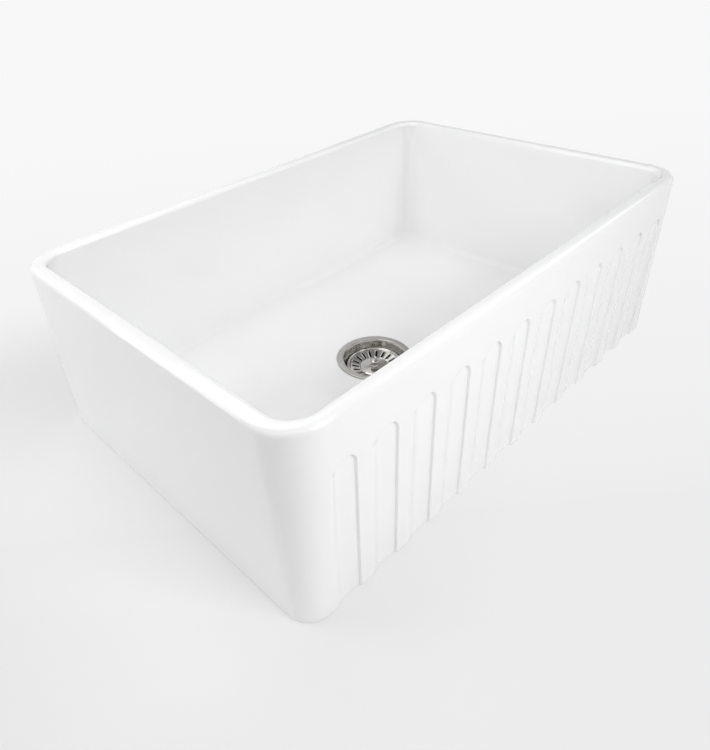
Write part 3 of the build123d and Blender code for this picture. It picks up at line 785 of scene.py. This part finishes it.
def buildDish(p):
    # the slotted zone on its cone, joined to the rolled rim outside it and to the plain disc inside it,
    # whose sections are turned with one column at each point of the zone's border
    top = basketHigh[2]
    foot, lipTop = top - p["dishDepth"], top - p["slotLipDrop"]
    disc, crown = foot + p["discStep"], foot + p["discStep"] + p["discCrown"]
    footRadius, sheet = p["discRadius"] + p["discBevel"], p["sheet"]
    gutter = top - 2 * p["beadRadius"] + sheet
    zoneIn, zoneOut = p["slotZone"]

    def cone(radius):
        return foot + (radius - footRadius) * (lipTop - foot) / (p["slotLipRadius"] - footRadius)

    sectors = slottedZone(cone, p)
    numbers = np.arange(sectors[..., 0].size).reshape(sectors.shape[:3])
    faces = [gridFaces(sector, closeColumns=True) for sector in numbers]

    beadMiddle, beadLevel = p["rimRadius"] - p["beadRadius"], top - p["beadRadius"]
    turn = np.linspace(pi, -pi / 2, p["beadSteps"] + 1)[:, None]
    bead = (beadMiddle, beadLevel) + p["beadRadius"] * np.concatenate([np.cos(turn), np.sin(turn)], axis=1)
    face = roundedSection([
        (zoneOut, cone(zoneOut)), (p["slotLipRadius"], lipTop), (p["gutterRadius"], gutter),
        (bead[0][0] - p["gutterRise"][0], gutter + p["gutterRise"][1])], p["faceRounds"])
    back = roundedSection([
        (beadMiddle, bead[-1][1]), (p["gutterRadius"], gutter - sheet),
        (p["slotLipRadius"], lipTop - sheet), (zoneOut, cone(zoneOut) - sheet)], p["backRounds"])
    upper = [(zoneIn, cone(zoneIn)), (footRadius, foot), (p["discRadius"], disc),
             (p["discFlatRadius"], crown), (p["stemHole"], crown)]
    lower = [(radius, height - sheet) for radius, height in upper[::-1]]
    plate = roundedSection(upper + lower, p["discRounds"] + p["discRounds"][::-1])
    columns = p["slotCount"] * p["endSteps"]
    start = np.radians(p["slotPhase"]) + pi / p["slotCount"]
    around = start + np.arange(columns) * 2 * pi / columns
    points, count = [sectors.reshape(-1, 3)], numbers.size
    for section in (np.concatenate([face, bead, back[1:]]), plate):
        ring = aboutDrain(section[:, :1], around, section[:, 1:])
        points.append(ring.reshape(-1, 3))
        ringNumbers = count + np.arange(len(points[-1])).reshape(ring.shape[:2])
        faces.append(gridFaces(ringNumbers, closeColumns=True))
        count += ringNumbers.size
    return weldedMesh("basketDish", np.concatenate(points) * mm, np.concatenate(faces).tolist())


knob = {
    "height": 11.5,
    "capRadius": 6.5,
    "capHeight": 4.2,
    "capLip": 0.8,
    "capEdgeShare": 3,  # the cap is widest at its height over this
    "neckRadius": 4.1,
    "footRadius": 5.6,
    "footHeight": 1.4,
    "footRounds": (0.15, 0.35),
    "underRounds": (0.3, 0.5),
    "socketDepth": 8.0,
    "socketRadius": 3.05,
    "columns": 96,
    "neckSteps": 16,
    "domeSteps": 14,
}


def buildKnob(k):
    # a foot, a neck whose radius is a parabola of the height, and a cap domed as a quarter ellipse
    base = basketHigh[2] - basket["dishDepth"] + basket["discStep"] + basket["discCrown"]
    top, footTop, capBase = base + k["height"], base + k["footHeight"], base + k["height"] - k["capHeight"]
    capEdge = capBase + k["capHeight"] / k["capEdgeShare"]
    capRadius, footRadius, socketTop = k["capRadius"], k["footRadius"], base + k["socketDepth"]
    neckShare = np.linspace(-1, 1, k["neckSteps"] + 1)[:, None]
    neckEnd = np.where(neckShare < 0, footRadius, capRadius - k["capLip"])
    neckRadius = k["neckRadius"] + (neckEnd - k["neckRadius"]) * neckShare ** 2
    neckHeight = (footTop + capBase) / 2 + neckShare * (capBase - footTop) / 2
    neck = np.concatenate([neckRadius, neckHeight], axis=1)
    dome = quarterRound((capRadius, capEdge), (0, top), (capRadius, top), k["domeSteps"])
    foot = roundedSection([(k["socketRadius"], base), (footRadius, base), (footRadius, footTop), neck[1]],
                          k["footRounds"])
    under = roundedSection([neck[-2], neck[-1], (capRadius, capEdge), dome[2]], k["underRounds"])
    socket = [(0, socketTop), (k["socketRadius"], socketTop)]
    section = np.concatenate([foot, neck[2:-2], under, dome[3:], socket])
    return turnedPiece("basketKnob", section, k["columns"])


dishPiece = buildDish(basket)
dishPiece.data.materials.append(finishes["pressedSteel"])
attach(dishPiece, "basket")
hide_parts("basket_dish")
knobPiece = buildKnob(knob)
knobPiece.data.materials.append(finishes["turnedSteel"])
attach(knobPiece, "basket")
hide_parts("basket_knob")
print("basket built")

# CAD nodes that keep their shape and take a finish
nodeFinishes = {
    "kneadedPutty": ("flange_putty",),
    "pressedSteel": ("outlet_crosspiece", "stopper_plate"),
    "temperedSteel": ("spring_clip",),
    "mouldedRubber": ("under_gasket", "rubber_stopper"),
    "pressedFibre": ("friction_ring",),
    "zincCasting": ("locknut",),
    "mouldedPolythene": ("tailpiece_washer",),
    "chromedBrass": ("tailpiece", "coupling_nut"),
    "turnedSteel": ("basket_stem", "stem_spacer", "stem_nut"),
}
for finish, nodeNames in nodeFinishes.items():
    for nodeName in nodeNames:
        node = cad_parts[nodeName]
        node.data.materials.clear()
        node.data.materials.append(finishes[finish])
print("finishes on the hidden pieces")

# stage: a pale paper floor, a pale world and soft lamps; its lengths are in metres
stage = {
    "floorRings": (0.07, 0.3, 1.0, 6.0, 30.0),  # from the drain; the first is the edge of the hole
    "floorColumns": 96,
    "floorLevel": -0.0002,  # just under the sink, so that the two faces don't fight
    # nearColour and farColour are the ends of a painted light falloff: the paper is painted darker near the
    # camera and paler far off; farColour is also the world's horizon
    "nearColour": "#ECECEC",
    "farColour": "#F8F8F8",
    "paintedFalloffAzimuth": 48.7,  # degrees; the way in which the paper gets paler
    "paintedFalloffSpan": (-0.3, 1.3),  # along that way from the sink's middle
    "paintedFalloffPower": 0.5,
    "horizonSpan": (2.0, 9.0),  # out to where the paper has the world's colour on every side
    "paint": (0.3, 1.0),  # share of its brightness that takes no shadow, beside the sink and far off
    "paintCentre": (-0.45, 0.1, 0.0),  # beside the sink's left face
    "paintSpan": (0.25, 0.6),  # from that place
    "overheadColour": "#9A9A9A",
    "overheadSpan": (0.05, 0.6),  # sine of the height over the horizon
    "worldStrength": 0.05,
    "farLampDistance": 4,
    "farLampWidth": 30,  # degrees that each seems to fill
}


def shownRays(tree):
    # 1 for rays that show the background: from the camera, or reflected or passed on to it
    path = addNode(tree, "LightPath").outputs
    direct, glossy, through = (path[f"Is {kind} Ray"] for kind in ("Camera", "Glossy", "Transmission"))
    seen = addNode(tree, "Math", (direct, glossy), operation="MAXIMUM").outputs[0]
    return addNode(tree, "Math", (seen, through), operation="MAXIMUM").outputs[0]


def paperFloor(s):
    # matt studio paper. Its colour is painted paler with the square root of the distance along one
    # direction, a painted light falloff, or by a smoothstep out to the horizon if that is paler. Part of it
    # glows for shown rays, which keeps the paper pale and the sink's shadow faint
    material, tree = newMaterial("paperFloor")
    place = addNode(tree, "TexCoord").outputs["Object"]
    turn = radians(s["paintedFalloffAzimuth"])
    way = (cos(turn), sin(turn), 0)
    along = addNode(tree, "VectorMath", (place, way), operation="DOT_PRODUCT").outputs["Value"]
    share = addNode(tree, "MapRange", (along, *s["paintedFalloffSpan"])).outputs[0]
    near = addNode(tree, "Math", (share, s["paintedFalloffPower"]), operation="POWER").outputs[0]
    out = addNode(tree, "VectorMath", (place,), operation="LENGTH").outputs["Value"]
    far = addNode(tree, "MapRange", (out, *s["horizonSpan"]), interpolation_type="SMOOTHSTEP").outputs[0]
    # painted light falloff: the paper is painted paler along the view's way, or out towards the horizon
    paintedFalloff = addNode(tree, "Math", (near, far), operation="MAXIMUM").outputs[0]
    ends = {6: s["nearColour"], 7: s["farColour"]}
    colour = addNode(tree, "Mix", {0: paintedFalloff, **ends}, data_type="RGBA").outputs[2]
    matt = addNode(tree, "BsdfDiffuse", {"Color": colour}).outputs[0]
    glow = addNode(tree, "Emission", {"Color": colour, "Strength": 1.0}).outputs[0]
    distance = addNode(tree, "VectorMath", (place, s["paintCentre"]), operation="DISTANCE").outputs["Value"]
    paint = addNode(tree, "MapRange", (distance, *s["paintSpan"], *s["paint"]),
                    interpolation_type="SMOOTHSTEP").outputs[0]
    painted = addNode(tree, "Math", (shownRays(tree), paint), operation="MULTIPLY").outputs[0]
    mixed = addNode(tree, "MixShader", (painted, matt, glow)).outputs[0]
    addNode(tree, "OutputMaterial", {"Surface": mixed})
    return material


def studioWorld(s):
    # white at the horizon, greyer overhead, and only a little light of its own on matt surfaces
    world = bpy.data.worlds.new("studio")
    world.use_nodes = True
    tree = world.node_tree
    tree.nodes.clear()
    direction = addNode(tree, "TexCoord").outputs["Generated"]
    rise = addNode(tree, "SeparateXYZ", (direction,)).outputs["Z"]
    share = addNode(tree, "MapRange", (rise, *s["overheadSpan"]), interpolation_type="SMOOTHSTEP").outputs[0]
    ends = {6: s["farColour"], 7: s["overheadColour"]}
    colour = addNode(tree, "Mix", {0: share, **ends}, data_type="RGBA").outputs[2]
    strength = addNode(tree, "MapRange", (shownRays(tree), 0.0, 1.0, s["worldStrength"], 1.0)).outputs[0]
    sky = addNode(tree, "Background", {"Color": colour, "Strength": strength})
    addNode(tree, "OutputWorld", {"Surface": sky.outputs[0]})
    return world


def buildStage(s):
    # a round sheet of rings about the drain; the hole under the sink lets the drain hang through
    radius = np.array(s["floorRings"])[:, None]
    angle = np.arange(s["floorColumns"]) * 2 * pi / s["floorColumns"]
    x, y = drainCentre[0] * mm + radius * np.cos(angle), drainCentre[1] * mm + radius * np.sin(angle)
    points = np.stack([x, y, 0 * x + s["floorLevel"]], axis=-1).reshape(-1, 3)
    numbers = np.arange(len(points)).reshape(x.shape)[::-1]
    mesh = bpy.data.meshes.new("floor")
    mesh.from_pydata(points.tolist(), [], gridFaces(numbers, closeColumns=True).tolist())
    floor = addObject("floor", mesh)
    mesh.materials.append(paperFloor(s))
    bpy.context.scene.world = studioWorld(s)


# large soft lamps far away: azimuth and elevation of where each stands, in degrees, and its strength
farLamps = {
    "backLeft": {"stands": (120, 30), "strength": 0.615},
    "right": {"stands": (330, 30), "strength": 0.375},
    "frontRight": {"stands": (285, 40), "strength": 0.375},
    "leftFront": {"stands": (210, 30), "strength": 0.31},
    "highFront": {"stands": (240, 50), "strength": 0.27},
    "back": {"stands": (60, 50), "strength": 0.26},
    "left": {"stands": (180, 30), "strength": 0.25},
    "front": {"stands": (270, 30), "strength": 0.245},
    "overhead": {"stands": (120, 70), "strength": 0.22},
}
# soft boxes near the sink: where each stands, what it looks at, its side and its power in watts
nearLamps = {
    "boxHighFront": {"place": (0.4, -1.6, 1.6), "aim": (0.2, -0.25, 0.2), "side": 0.5, "power": 4.7},
    "boxLowLeft": {"place": (-1.2, 0.8, 0.3), "aim": (-0.38, 0.32, 0.2), "side": 0.5, "power": 2.0},
    "boxOverBowl": {"place": (-0.3, 0.15, 0.85), "aim": (0.0, 0.0, 0.15), "side": 0.5, "power": 1.8},
    "boxHighLeft": {"place": (-1.0, 0.4, 1.1), "aim": (-0.38, 0.16, 0.2), "side": 0.5, "power": 1.15},
    "boxFront": {"place": (-0.15, -0.8, 0.5), "aim": (-0.1, -0.25, 0.15), "side": 0.4, "power": 1.3},
}


def addLamp(name, kind, towards, place):
    # a lamp at a place, which shines against the direction given
    data = bpy.data.lights.new(name, kind)
    lamp = addObject(name, data)
    lamp.rotation_euler = towards.to_track_quat("Z", "Y").to_euler()
    lamp.location = place
    lamp.visible_camera = False
    return data


def addFarLamp(name, values, distance, width):
    # azimuth and elevation give the direction; the angle that it fills makes its shadows soft
    turn, lift = (radians(degrees) for degrees in values["stands"])
    towards = Vector((cos(turn) * cos(lift), sin(turn) * cos(lift), sin(lift)))
    data = addLamp(name, "SUN", towards, distance * towards)
    data.angle = radians(width)
    data.energy = values["strength"]


def addNearLamp(name, values):
    # a square box that shines from its place towards its aim
    place = Vector(values["place"])
    data = addLamp(name, "AREA", place - Vector(values["aim"]), place)
    data.size = values["side"]
    data.energy = values["power"]


buildStage(stage)
for lampName, lampValues in farLamps.items():
    addFarLamp(lampName, lampValues, stage["farLampDistance"], stage["farLampWidth"])
for lampName, lampValues in nearLamps.items():
    addNearLamp(lampName, lampValues)
bpy.context.scene.view_settings.view_transform = "Standard"
print("stage built")
